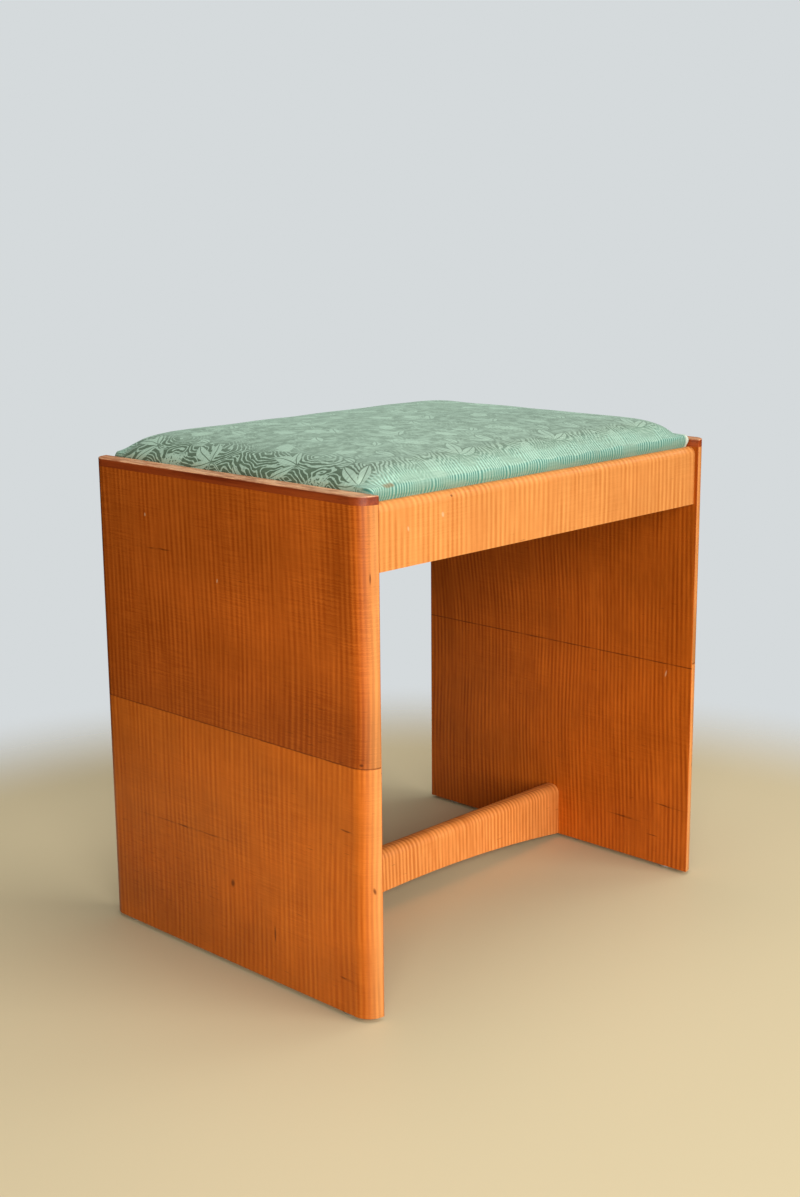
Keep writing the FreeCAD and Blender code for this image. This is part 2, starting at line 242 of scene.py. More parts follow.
def ripple_veneer(name, face, light, dark, seed, pitch=6.3, wrap=False, lean=0.0, contrast=1.0,
                  crosshatch=0.5, blotch=0.16, sway=0.012, shade_and_tone_ramps=(), zones=(), joint=None,
                  dark_marks=(), light_marks=()):
    """Fiddleback veneer under satin lacquer. The ripple runs across a grain that lies level.

    face is "x" for a panel, whose width is Y, and "y" for a rail, whose width is X. zones are darker
    areas where the level grain shows strongly. Marks and zones are placed in millimetres on the face.
    """
    g = Graph(name)
    x, y, z = g.split(g.place())
    if face == "x":
        across = y
        if wrap:
            inward = g.minus(OUTER_X, g.math("ABSOLUTE", x))
            across = g.add(y, g.times(g.math("SIGN", y), inward))
    else:
        across = x
    wander = g.streaks(across, z, 20.0, 3.0, seed, detail=1.0)
    bend = g.streaks(across, z, 4.0, 5.0, seed + 3.0, detail=0.0)
    leaned = g.add(across, g.times(z, lean), g.times(bend, sway))
    phase = g.add(g.times(leaned, 2 * math.pi / (pitch * MM)), g.times(wander, 9.0))
    wave = g.between(g.math("SINE", phase), -1.0, 1.0, smooth=False)
    strength = g.between(g.streaks(across, z, 45.0, 14.0, seed + 5.0, detail=1.0), 0.3, 0.65, 0.25, 1.0)
    fine = g.streaks(leaned, z, 360.0, 9.0, seed + 7.0, detail=2.0, roughness=0.6)
    broken = g.streaks(leaned, z, 240.0, 40.0, seed + 8.0, detail=1.0)
    broad = g.streaks(leaned, z, 85.0, 6.0, seed + 9.0, detail=1.0)
    figure = g.add(
        g.times(g.centred(wave), strength, 0.80 * contrast),
        g.times(g.centred(fine), 0.65 * contrast),
        g.times(g.centred(broken), 0.5 * contrast),
        g.times(g.centred(broad), 0.55 * contrast),
        0.5)
    deep = 0.0
    for place, amount in zones:
        deep = g.math("MAXIMUM", deep, g.times(mark(g, across, z, place, soft=0.9), amount))
    # level grain lines, strongest in patches and in the deep zones
    level = g.add(g.times(z, 780.0), g.times(wave, 0.35))
    grain = g.noise(g.combine(g.times(across, 26.0), level, seed + 11.0), detail=2.0, roughness=0.6)
    patch_noise = g.streaks(across, z, 9.0, 12.0, seed + 13.0, detail=1.0)
    shown = g.math("MAXIMUM", g.between(patch_noise, 0.42, 0.62, 0.30, 1.0), deep)
    figure = g.add(figure, g.times(g.centred(grain), shown, 1.5 * crosshatch), g.times(deep, -0.28))
    colour = g.mix(g.clamp(figure), dark, light)
    dash = g.streaks(across, z, 75.0, 620.0, seed + 12.0, detail=1.0)
    dashes = g.times(g.between(dash, 0.60, 0.74), g.add(g.times(deep, 0.45), 0.05 * crosshatch))
    colour = g.mix(dashes, colour, faded(dark, 0.4))
    cloud = g.streaks(across, z, 15.0, 19.0, seed + 17.0, detail=3.0)
    tone = g.add(1.0 - blotch / 2, g.times(g.minus(cloud, 0.45), 2.2 * blotch))
    tone = g.times(tone, g.add(1.0, g.times(deep, -0.14)))
    # brightness ramps along the face; on the slab sides they hold painted light and shade as well as the
    # veneer's tone
    for axis, low, high, start, end in shade_and_tone_ramps:
        along = {"x": x, "y": y, "z": z}[axis]
        tone = g.times(tone, g.between(along, low * MM, high * MM, start, end))
    colour = g.shade(colour, tone)
    if wrap:
        # painted highlight: the rounded edges, turned towards the light, are painted lighter
        colour = g.mix(g.times(g.between(inward, 0.001, 0.014), 0.8), colour,
                       g.shade(EDGE_PAINTED_HIGHLIGHT, g.times(g.between(figure, 0.2, 0.8, 0.86, 1.06), tone)))
    # short dark mineral streaks along the grain
    streak = g.streaks(across, z, 60.0, 700.0, seed + 23.0, detail=1.0)
    rare = g.streaks(across, z, 14.0, 16.0, seed + 29.0, detail=0.0)
    spots = g.times(g.between(streak, 0.70, 0.78), g.between(rare, 0.55, 0.65), 0.45)
    for place, tilt in dark_marks:
        spot = mark(g, across, z, place, tilt)
        if place[2] > LONG_MARK:
            # a long mark is a broken line
            spot = g.times(spot, g.between(dash, 0.40, 0.60, 0.25, 1.0))
        spots = g.math("MAXIMUM", spots, g.times(spot, 0.8))
    colour = g.mix(spots, colour, faded(dark, 0.22))
    if joint is not None:
        ragged = g.noise(g.combine(g.times(across, 60.0), 0.0, seed), detail=2.0)
        off = g.math("ABSOLUTE", g.minus(g.add(z, g.times(g.centred(ragged), 0.0008)), joint))
        seam = g.times(g.between(off, 0.0002, 0.0009, 1.0, 0.0), g.between(ragged, 0.3, 0.6, 0.4, 0.85))
        colour = g.mix(seam, colour, faded(dark, 0.3))
    for place, tilt in light_marks:
        colour = g.mix(g.times(mark(g, across, z, place, tilt), 0.6), colour, CHIP_COLOUR)
    roughness = g.add(0.36, g.times(g.centred(cloud), 0.16), g.times(fine, 0.06))
    height = g.add(g.times(wave, strength, 0.6), g.times(fine, 0.5), g.times(grain, 0.3))
    normal = g.bump(height, 0.00012, 0.35)
    return g.surface(colour, roughness, normal, Specular_IOR_Level=0.20, Coat_Weight=0.05,
                     Coat_Roughness=0.22)


def plain_wood(name, light, dark, grain_axis, seed, roughness, coat=0.0, top_wear_and_reflection=None):
    """Straight-grained solid timber. grain_axis is the way the fibres run."""
    g = Graph(name)
    place = g.split(g.place())

    def fibres(along, across, shift, **settings):
        """Noise drawn out along the grain."""
        scales = [along if axis == grain_axis else across for axis in "xyz"]
        spread = [g.add(g.times(c, scale), shift) for c, scale in zip(place, scales)]
        return g.noise(g.combine(*spread), **settings)

    fibre = fibres(9.0, 420.0, 0.0, detail=3.0, roughness=0.6)
    ring = fibres(4.5, 95.0, seed, detail=2.0)
    figure = g.add(g.times(g.centred(fibre), 1.6), g.times(g.centred(ring), 1.8), 0.5)
    colour = g.mix(g.clamp(figure), dark, light)
    pore = fibres(60.0, 1500.0, 0.0, detail=1.0)
    colour = g.shade(colour, g.between(pore, 0.58, 0.72, 1.0, 0.7))
    # the top face is painted paler: partly rubbed wear, partly a painted reflection of the bright
    # surroundings
    if top_wear_and_reflection is not None:
        rubbed = g.noise(g.vector("MULTIPLY", g.place(), (320.0, 55.0, 160.0)), detail=3.0)
        high = g.between(place[2], CAP_TOP - 0.0011, CAP_TOP - 0.0002)
        colour = g.mix(g.times(high, g.between(rubbed, 0.32, 0.66, 0.35, 1.0)), colour, top_wear_and_reflection)
    normal = g.bump(g.add(fibre, g.times(pore, -0.6)), 0.0002, 0.4)
    return g.surface(colour, g.add(roughness, g.times(fibre, 0.12)), normal, Specular_IOR_Level=0.4,
                     Coat_Weight=coat, Coat_Roughness=0.2)


def metal(name, colour, roughness):
    g = Graph(name)
    place = g.place()
    cloud = g.noise(place, 260.0, detail=3.0)
    scratched = g.noise(g.vector("MULTIPLY", place, (2600.0, 300.0, 900.0)), detail=2.0)
    tinted = g.shade(g.mix(g.between(cloud, 0.45, 0.7), colour, faded(colour, 0.55)),
                     g.between(scratched, 0.3, 0.7, 0.85, 1.08))
    rough = g.add(roughness, g.times(g.add(scratched, cloud), 0.12))
    return g.surface(tinted, rough, g.bump(scratched, 0.00005, 0.4), Metallic=1.0)


def paint_wood():
    # the slab sides are lighter towards the front: partly the veneer's tone, partly painted light from the
    # front
    panel_light_and_tone_ramp = ("y", -182, 182, 1.06, 0.88)
    upper = ripple_veneer(
        "outer_upper_veneer", "x", UPPER_LIGHT, UPPER_DARK, 2.0, wrap=True,
        shade_and_tone_ramps=(panel_light_and_tone_ramp, ("z", 300, 455, 1.0, 0.95), ("z", 228, 330, 0.88, 1.0)),
        zones=(((-140, 246, 75, 38), 0.85), ((70, 300, 110, 26), 0.30), ((-30, 405, 50, 40), 0.35),
               ((-150, 400, 14, 50), 0.55), ((150, 350, 40, 80), 0.30)),
        joint=OUTER_JOINT_Z, crosshatch=1.25,
        dark_marks=(((-176, 233, 2.2, 1.2), 0), ((-189, 392, 0.8, 4), 0), ((84, 384, 14, 0.8), -2)),
        light_marks=(((103, 414, 0.9, 1.4), 0), ((3, 365.6, 0.8, 1.6), 12)))
    lower = ripple_veneer(
        "outer_lower_veneer", "x", LOWER_LIGHT, LOWER_DARK, 31.0, wrap=True, blotch=0.20,
        shade_and_tone_ramps=(panel_light_and_tone_ramp, ("z", 3, 90, 0.86, 1.0)),
        zones=(((105, 62, 95, 48), 0.80), ((130, 168, 60, 24), 0.35), ((20, 25, 90, 26), 0.45),
               ((-160, 30, 26, 34), 0.45), ((-162, 110, 10, 60), 0.25)),
        joint=OUTER_JOINT_Z, crosshatch=0.8, contrast=0.9,
        dark_marks=(((-5.8, 83, 2.3, 3.2), 10), ((-62.5, 49.8, 0.9, 7), 0),
                    ((-190, 120.6, 1.5, 2.8), -25), ((60, 121.5, 52, 0.8), -1.5),
                    ((-157, 171.4, 7.5, 0.8), 3), ((-155, 35.1, 8.5, 0.9), 2)))
    inner = ripple_veneer(
        "inner_veneer", "x", INNER_LIGHT, INNER_DARK, 57.0, pitch=5.3, lean=-0.03, sway=0.022,
        contrast=1.05, crosshatch=0.45, joint=INNER_JOINT_Z,
        # painted shade: darker at the top, under the seat, and towards the back, deeper inside
        shade_and_tone_ramps=(("z", 190, 330, 1.0, 0.80), ("y", -70, 130, 1.0, 0.84)),
        zones=(((-110, 55, 60, 30), 0.25),),
        dark_marks=(((-100, 45.5, 17, 0.9), 1), ((-159, 69.8, 15, 0.8), 2), ((-137.5, 33.5, 6, 0.8), 1)),
        light_marks=(((-150.5, 213.8, 0.8, 3), 14),))
    rail = ripple_veneer(
        "rail_veneer", "y", RAIL_LIGHT, RAIL_DARK, 83.0, pitch=6.4, contrast=0.95, crosshatch=0.40,
        blotch=0.1, shade_and_tone_ramps=(("x", -240, 240, 1.02, 0.93),),
        dark_marks=(((-134, 448, 1.2, 0.9), 0),),
        light_marks=(((-145.6, 433.4, 1.4, 2), 20), ((-188, 427, 0.9, 1.8), 15)))
    stretcher = ripple_veneer(
        "stretcher_veneer", "y", STRETCHER_LIGHT, STRETCHER_DARK, 101.0, pitch=5.2, contrast=1.6,
        crosshatch=0.3, blotch=0.12, shade_and_tone_ramps=(("x", -240, 240, 1.08, 0.99),))
    for side in ("left", "right"):
        paint(upper, f"{side}_panel_outer_veneer_upper")
        paint(lower, f"{side}_panel_outer_veneer_lower")
        paint(inner, f"{side}_panel_inner_veneer_upper", f"{side}_panel_inner_veneer_lower")
    paint(rail, "front_apron_veneer", "back_apron_veneer")
    paint(stretcher, "stretcher_veneer")
    cap = plain_wood("cap_hardwood", CAP_LIGHT, CAP_DARK, "y", 3.0, 0.34, coat=0.10, top_wear_and_reflection=CAP_TOP_WEAR_AND_REFLECTION)
    paint(cap, "left_cap_strip", "right_cap_strip")
    core = plain_wood("core_wood", *CORE_TONES, "x", 11.0, 0.7)
    paint(core, *[n for n in NODES if n.endswith("_core")])
    block = plain_wood("block_wood", *BATTEN_TONES, "z", 17.0, 0.75)
    paint(block, *[n for n in NODES if n.startswith("corner_block")])
    ledger = plain_wood("ledger_wood", *BATTEN_TONES, "y", 19.0, 0.75)
    paint(ledger, "left_seat_ledger", "right_seat_ledger")
    dowel = plain_wood("dowel_wood", *DOWEL_TONES, "x", 23.0, 0.7)
    paint(dowel, "apron_dowels", "stretcher_dowels", "seat_frame_dowels")
    for axis, sides in (("x", ("front", "back")), ("y", ("left", "right"))):
        rail_wood = plain_wood(f"seat_frame_wood_{axis}", *BEECH_TONES, axis, 29.0, 0.8)
        paint(rail_wood, *[f"seat_rail_{side}" for side in sides])


def paint_metal():
    paint(metal("screw_steel", (0.52, 0.47, 0.38), 0.38), "ledger_screws")
    paint(metal("tack_steel", (0.16, 0.16, 0.17), 0.42), "webbing_tacks", "cover_tacks")
    paint(metal("glide_metal", (0.50, 0.49, 0.47), 0.30), *[n for n in NODES if n.startswith("glide")])


# ---- mesh helpers ----
def new_piece(name, vertices, faces, material, body, smooth=True):
    mesh = bpy.data.meshes.new(name)
    mesh.from_pydata(vertices, [], faces)
    mesh.validate()
    bm = bmesh.new()
    bm.from_mesh(mesh)
    bmesh.ops.recalc_face_normals(bm, faces=bm.faces)
    bm.to_mesh(mesh)
    bm.free()
    mesh.polygons.foreach_set("use_smooth", [smooth] * len(mesh.polygons))
    obj = bpy.data.objects.new(name, mesh)
    bpy.context.scene.collection.objects.link(obj)
    if material is not None:
        mesh.materials.append(material)
    if body is not None:
        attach(obj, body)
    return obj


def apply_modifiers(obj):
    graph = bpy.context.evaluated_depsgraph_get()
    made = bpy.data.meshes.new_from_object(obj.evaluated_get(graph))
    obj.modifiers.clear()
    old = obj.data
    obj.data = made
    bpy.data.meshes.remove(old)


def points_of(mesh, name="co"):
    values = np.zeros(len(mesh.vertices) * 3, np.float32)
    mesh.vertices.foreach_get(name, values)
    return values.reshape(-1, 3).astype(float)


def move_points(mesh, co):
    mesh.vertices.foreach_set("co", co.astype(np.float32).ravel())
    mesh.update()


# ---- cushion ----
PAD_SECTION = (  # height above the seat's underside, inset from the frame at the sides and at the front
    (0, 0, 0), (3.5, 0, 0), (7, 0, 0), (10.5, 0, 0), (12.6, 0, -2.5),
    (15.5, -0.2, -4), (19, -0.5, -4.2), (22.5, 0, -3.6), (24.8, 1.2, -1.4), (28.4, 4.6, 2.8),
    (32, 9.5, 6.4), (35.2, 15.5, 10.2), (37.6, 22, 15), (39.4, 30, 21), (40.8, 42, 30),
    (41.6, 56, 42), (42.2, 76, 58), (42.8, 104, 86), (43.2, 142, 124))
HELD_Z = SEAT_BOTTOM + 0.020  # the cover is pulled tight over the frame below this height
FREE_Z = SEAT_BOTTOM + 0.031  # and is free to swell above this one
SWELL = 0.0038  # how far the middle swells outwards
CREEP = 0.0008  # furthest that it may slide along the pad
VOXEL = 0.004  # size of the cloth's mesh
CLOTH_FRAMES = 20  # steps that the cloth takes to settle
CORNER_START = 0.003  # radius of the pad's upright corners
CORNER_GROWTH = 0.85  # and how fast it grows as the pad draws in
CORNER_POINTS = 9
SIDE_POINTS = 26
ROLL_ROW = 7  # the section's row from which it runs inwards over the top
PINCHES = {(-1, -1): 0.0060, (1, -1): 0.0085, (1, 1): 0.0050, (-1, 1): 0.0035}  # pull down at each corner
PINCH_REACH = 0.024
CREASE_DEPTH = 0.0003
PLEAT_FOOT = (0.004, 0.012)  # where each corner's pleat starts, in from the corner
PLEAT_DEPTH = 0.0012
PLEAT_WIDTH = 0.0022
PLEAT_LENGTH = 0.034
CLEAR_OF_FRAME = 0.0009  # from the rails to the cover's outside
CLEAR_OF_PANEL = 0.0003
COVER_T = 0.0012
TURN_UNDER = 0.024  # width of the cover's hem under the rails


def rounded_ring(half_x, half_y, radius, z):
    """Points round a rounded rectangle, the same number whatever its size."""
    radius = min(radius, half_x, half_y)
    corners = ((1, 1, 0), (-1, 1, 90), (-1, -1, 180), (1, -1, 270))
    arcs = []
    for sx, sy, start in corners:
        cx, cy = sx * (half_x - radius), sy * (half_y - radius)
        turns = [math.radians(start + 90 * i / (CORNER_POINTS - 1)) for i in range(CORNER_POINTS)]
        arcs.append([(cx + radius * math.cos(a), cy + radius * math.sin(a), z) for a in turns])
    ring = []
    for arc, following in zip(arcs, arcs[1:] + arcs[:1]):
        ring.extend(arc)
        a, b = arc[-1], following[0]
        for i in range(1, SIDE_POINTS):
            t = i / SIDE_POINTS
            ring.append((a[0] + (b[0] - a[0]) * t, a[1] + (b[1] - a[1]) * t, z))
    return ring


def pad_blank():
    """The stuffed seat before it swells: straight sides, then a crown with pulled-in corners."""
    rings = []
    for height, side, front in PAD_SECTION:
        radius = CORNER_START + CORNER_GROWTH * max(side, 0.0) * MM
        half_x, half_y = SEAT_X - side * MM, SEAT_Y - front * MM
        rings.append(rounded_ring(half_x, half_y, radius, SEAT_BOTTOM + height * MM))
    count = len(rings[0])
    vertices = [p for ring in rings for p in ring]
    faces = []
    for r in range(len(rings) - 1):
        for i in range(count):
            j = (i + 1) % count
            faces.append((r * count + i, r * count + j, (r + 1) * count + j, (r + 1) * count + i))
    faces.append(tuple(range(count - 1, -1, -1)))
    faces.append(tuple((len(rings) - 1) * count + i for i in range(count)))
    return new_piece("seat_cushion", vertices, faces, None, None)


def swell(obj):
    """Lets the cover swell as cloth over its stuffing, held along its lower edge."""
    remesh = obj.modifiers.new("even_mesh", "REMESH")
    remesh.mode = "VOXEL"
    remesh.voxel_size = VOXEL
    apply_modifiers(obj)
    start = points_of(obj.data)
    normals = points_of(obj.data, "normal")
    free = smooth_step(start[:, 2], HELD_Z, FREE_Z)[:, None]
    held = obj.vertex_groups.new(name="held")
    for i, z in enumerate(start[:, 2]):
        if z < HELD_Z:
            held.add([i], 1.0, "REPLACE")
    cloth = obj.modifiers.new("cloth", "CLOTH")
    settings = cloth.settings
    settings.quality = 6
    settings.mass = 0.3
    settings.tension_stiffness = 15
    settings.compression_stiffness = 15
    settings.shear_stiffness = 5
    settings.bending_stiffness = 0.8
    settings.use_pressure = True
    settings.uniform_pressure_force = 4.0
    settings.vertex_group_mass = "held"
    settings.effector_weights.gravity = 0
    scene = bpy.context.scene
    for number in range(1, CLOTH_FRAMES + 1):
        scene.frame_set(number)
    apply_modifiers(obj)
    scene.frame_set(1)
    moved = points_of(obj.data) - start
    outwards = (moved * normals).sum(axis=1, keepdims=True)
    along = moved - outwards * normals
    length = np.maximum(np.linalg.norm(along, axis=1, keepdims=True), 1e-9)
    along *= np.minimum(1.0, CREEP / length)
    # the whole swelling is scaled down, so that the crown keeps the shape the cloth found
    outwards = np.clip(outwards, 0.0, None)
    outwards *= min(1.0, SWELL / outwards.max())
    move_points(obj.data, start + (outwards * normals + along) * free)


def smooth_step(value, low, high):
    t = np.clip((value - low) / (high - low), 0, 1)
    return t * t * (3 - 2 * t)


def shape_details(co):
    """Corners pinched down, a pleat at each of them and small creases along the roll."""
    x, y, z = co.T.copy()
    upper = smooth_step(z, HELD_Z, FREE_Z)
    edge = np.minimum(SEAT_X - np.abs(x), SEAT_Y - np.abs(y))
    ripple = CREASE_DEPTH * np.sin(x * 71 + 1.3 * np.sin(y * 23)) * np.sin(y * 57 + 0.8 * np.sin(x * 31))
    co[:, 2] += upper * ripple * smooth_step(edge, 0.004, 0.03)
    lowest = np.minimum(z, RAIL_TOP + 0.0024)
    for (sx, sy), pinch in PINCHES.items():
        reach = np.hypot(x - sx * SEAT_X, y - sy * SEAT_Y)
        co[:, 2] -= pinch * np.exp(-(reach / PINCH_REACH) ** 2) * upper
        co[:, 2] = np.maximum(co[:, 2], lowest)
        # the pleat runs down the corner, a little round from the diagonal
        from_x = x - sx * (SEAT_X - PLEAT_FOOT[0])
        from_y = y - sy * (SEAT_Y - PLEAT_FOOT[1])
        side = from_x * 0.55 - from_y * 0.83 * sx * sy
        groove = np.exp(-(side / PLEAT_WIDTH) ** 2)
        groove *= smooth_step(PLEAT_LENGTH - np.hypot(from_x, from_y), 0.0, 0.03)
        groove *= smooth_step(z, LIP_TOP - 0.003, LIP_TOP + 0.003)
        for axis, way in enumerate((sx, sy, 1)):
            co[:, axis] -= way * PLEAT_DEPTH * groove
    return co


def keep_outside_frame(co):
    """Keeps the cover's sides from sinking into the rails, and clear of the side panels."""
    limit_x = RAIL_HIGH.x + CLEAR_OF_FRAME
    limit_y = -RAIL_LOW.y + CLEAR_OF_FRAME
    sunk_x = limit_x - np.abs(co[:, 0])
    sunk_y = limit_y - np.abs(co[:, 1])
    sunk_z = RAIL_TOP + CLEAR_OF_FRAME - co[:, 2]
    sunk = (sunk_x > 0) & (sunk_y > 0) & (sunk_z > 0) & (co[:, 2] > SEAT_BOTTOM + 0.001)
    nearest = np.argmin([sunk_x, sunk_y, sunk_z], axis=0)
    for axis, limit in ((0, limit_x), (1, limit_y)):
        moved = sunk & (nearest == axis)
        co[moved, axis] = np.sign(co[moved, axis]) * limit
    co[sunk & (nearest == 2), 2] = RAIL_TOP + CLEAR_OF_FRAME
    furthest = INNER_X - CLEAR_OF_PANEL
    co[:, 0] = np.clip(co[:, 0], -furthest, furthest)
    return co


def close_underside(obj):
    """Cuts the seat's base away and turns the cover under the rails, leaving the frame open to view."""
    bm = bmesh.new()
    bm.from_mesh(obj.data)
    geometry = bm.verts[:] + bm.edges[:] + bm.faces[:]
    bmesh.ops.bisect_plane(bm, geom=geometry, plane_co=(0, 0, SEAT_BOTTOM + COVER_T), plane_no=(0, 0, 1),
                           clear_inner=True)
    rim = [e for e in bm.edges if e.is_boundary]
    steps = (  # inset from the rim, height
        (0.0006, SEAT_BOTTOM + 0.0003),
        (0.0020, SEAT_BOTTOM),
        (TURN_UNDER - 0.0006, SEAT_BOTTOM),
        (TURN_UNDER, SEAT_BOTTOM + COVER_T / 2),
        (TURN_UNDER - 0.0006, SEAT_BOTTOM + COVER_T),
        (COVER_T, SEAT_BOTTOM + COVER_T),
        (COVER_T, RAIL_TOP),
        (0.020, RAIL_TOP + 0.0028),
        (0.060, PADDING_UNDERSIDE),
    )
    start = {v: v.co.copy() for e in rim for v in e.verts}
    ring = {v: v for v in start}
    for inset, height in steps:
        made = bmesh.ops.extrude_edge_only(bm, edges=rim)["geom"]
        rim = [e for e in made if isinstance(e, bmesh.types.BMEdge) and e.is_boundary]
        new = [v for v in made if isinstance(v, bmesh.types.BMVert)]
        after = {}
        for v in new:
            source = min((e.other_vert(v) for e in v.link_edges if e.other_vert(v) in ring),
                         key=lambda other: (other.co - v.co).length)
            after[v] = ring[source]
            co = start[ring[source]]
            v.co = Vector((co.x * (SEAT_X - inset) / SEAT_X, co.y * (SEAT_Y - inset) / SEAT_Y, height))
        ring = after
    bmesh.ops.contextual_create(bm, geom=rim)
    bmesh.ops.triangulate(bm, faces=[f for f in bm.faces if len(f.verts) > 4])
    bmesh.ops.recalc_face_normals(bm, faces=bm.faces)
    bm.to_mesh(obj.data)
    bm.free()
    obj.data.polygons.foreach_set("use_smooth", [True] * len(obj.data.polygons))


def lay_cloth(obj):
    """Stores where each point of the cover lies on the flat cloth, its sides unfolded."""
    section = np.array(PAD_SECTION) * MM
    co = points_of(obj.data)
    flat = np.zeros_like(co)
    for axis, half, insets in ((0, SEAT_X, section[:, 1]), (1, SEAT_Y, section[:, 2])):
        # length of cloth from the crown down to each point of the section
        crown = insets[-1]
        steps = np.hypot(np.diff(insets[::-1]), np.diff(section[::-1, 0]))
        run = np.concatenate([[0.0], np.cumsum(steps)])[::-1]
        spare = run - (crown - insets)
        inset = half - np.abs(co[:, axis])
        on_wall = smooth_step(0.008 - inset, 0.0, 0.006)
        by_height = np.interp(co[:, 2] - SEAT_BOTTOM, section[:, 0], spare)
        by_inset = np.interp(inset, insets[ROLL_ROW:], spare[ROLL_ROW:])
        extra = by_inset * (1 - on_wall) + by_height * on_wall
        flat[:, axis] = co[:, axis] + np.sign(co[:, axis]) * extra
    attribute = obj.data.attributes.new("cloth", "FLOAT_VECTOR", "POINT")
    attribute.data.foreach_set("vector", flat.astype(np.float32).ravel())


def make_cushion(material):
    obj = pad_blank()
    swell(obj)
    move_points(obj.data, shape_details(points_of(obj.data)))
    subdivide = obj.modifiers.new("finer", "SUBSURF")
    subdivide.levels = 1
    apply_modifiers(obj)
    move_points(obj.data, keep_outside_frame(points_of(obj.data)))
    close_underside(obj)
    lay_cloth(obj)
    obj.data.materials.clear()
    obj.data.materials.append(material)
    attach(obj, "seat")
    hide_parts("seat_cover", "seat_padding")


# ---- damask ----
REPEAT = 0.128  # across the seat
REPEAT_LONG = 0.190  # front to back
LINE_PITCH = 0.0039  # between the rings
DRAWN_PITCH = 0.0034  # between the threads drawn out over the rolls
GROUND = (0.092, 0.142, 0.088)
RAISED = (0.360, 0.505, 0.385)
# the crown's ground: partly rubbed wear, partly a painted reflection
CROWN_GROUND_WEAR_AND_REFLECTION = (0.255, 0.345, 0.265)
# painted highlight: the rolls catch the light, so their ground and drawn threads are painted pale mint
ROLL_GROUND_HIGHLIGHT = (0.185, 0.330, 0.245)
ROLL_THREADS_HIGHLIGHT = (0.380, 0.650, 0.520)
# painted shade: dark drawn threads on the upright wall under each roll
WALL_THREADS_SHADE = (0.050, 0.205, 0.165)
STAIN_COLOUR = (0.215, 0.150, 0.062)
SELVEDGE_COLOUR = (0.62, 0.66, 0.55)
# where the looks of the cover change, as distances from the middle and heights
OPEN_Y, OPEN_Z = (-0.040, -0.125), (0.468, 0.478)
ROLL_Y, ROLL_Z = (0.148, 0.168), (0.455, 0.463)
WALL_Y, WALL_TOP = (0.160, 0.166), (0.4634, 0.4646)
WALL_FOOT_PAINTED_LIGHT = (0.3525, 0.3620)  # painted light at the wall's foot: heights 0.1 m below the wall's own
CROWN_Z = (0.474, 0.4835)
RUBBED_Z = (0.4775, 0.4830)
EYES = (  # centres of the nested rings on the repeat, in millimetres
    (14, 20), (18, 66), (52, 44), (58, 102), (96, 22), (100, 78),
    (24, 122), (88, 130), (46, 160), (112, 168))
SPRAYS = (  # foot on the repeat, then each leaf's length, width, angle, bend: in millimetres and degrees
    ((30, 34), ((34, 12, 62, 2), (29, 10, 22, -1.5), (25, 8.5, 108, 2.5),
                    (22, 3.6, 232, 2), (18, 3.2, 160, 2))),
    ((40, 118), ((33, 11.5, 82, -2.5), (30, 9.5, 128, 2), (27, 8.5, 35, 2),
                     (20, 3.4, 265, -1.5))),
    ((12, 170), ((28, 9.5, 50, 2), (24, 8, 104, -2))),
    ((54, 60), ((22, 7, 70, -1.5), (18, 6, 120, 1.5))),
    ((100, 146), ((29, 10, 60, 2), (24, 8.5, 98, -2), (19, 6, 350, 1.5))),
    ((92, 50), ((28, 9.5, 75, 1.5), (24, 8, 135, -1))),
    ((112, 92), ((26, 9, 100, 2), (22, 8, 48, -2))))
PATCHES = (  # centre on the repeat, half width, half length, angle, speckled
    ((22, 88), 9.5, 21, 24, True),
    ((8, 4), 8.5, 13, -15, False),
    ((66, 160), 8.5, 15, -35, False),
    ((78, 96), 7, 12, 20, False),
    ((116, 24), 8.5, 12, 10, False))
STAINS = (  # place on the cover, half length, half height, strength
    ((-203.0, -170.0, 464.0), (9.0, 8.0, 2.6), 0.75),
    ((-211.0, 118.0, 468.0), (9.0, 13.0, 4.5), 0.55))


def on_repeat(g, u, v, centre, angle):
    """Distances along and across a figure at its place on the repeat."""
    du = g.math("WRAP", g.minus(u, centre[0] * MM), REPEAT / 2, -REPEAT / 2)
    dv = g.math("WRAP", g.minus(v, centre[1] * MM), REPEAT_LONG / 2, -REPEAT_LONG / 2)
    return g.turned(du, dv, angle)


def leaf(g, u, v, foot, length, width, angle, bend):
    """A pointed leaf growing from its foot: 1 on the leaf, 0 on its midrib, 1 on it and close round it."""
    along, across = on_repeat(g, u, v, foot, angle)
    share = g.minus(g.times(along, 2 / (length * MM)), 1.0)
    square = g.math("MULTIPLY", share, share)
    across = g.math("ABSOLUTE", g.add(across, g.times(square, bend * MM), -bend * MM))
    half = g.times(g.minus(1.0, square), width * MM / 2)
    depth = g.minus(half, across)
    inside = g.between(depth, -0.0002, 0.0004)
    rib = g.between(across, 0.0002, 0.0007)
    return inside, rib, g.between(depth, -0.0022, -0.0010)


def patch(g, u, v, ragged, centre, half_width, half_length, angle):
    """A brushed patch with a ragged outline."""
    reach = g.reach(*on_repeat(g, u, v, centre, angle), half_width, half_length)
    return g.between(g.add(reach, g.times(ragged, 1.1)), 1.40, 1.52, 1.0, 0.0)


def rings(g, u, v):
    """Distance from the nearest eye, measured so that its rings are long and pointed."""
    reaches = []
    for eye in EYES:
        du, dv = on_repeat(g, u, v, eye, 0.0)
        wide = g.math("POWER", g.math("ABSOLUTE", du), 1.3)
        long = g.math("POWER", g.times(g.math("ABSOLUTE", dv), 0.62), 1.3)
        reaches.append(g.math("POWER", g.add(wide, long), 1 / 1.3))
    return g.fold("SMOOTH_MIN", reaches, 0.005)


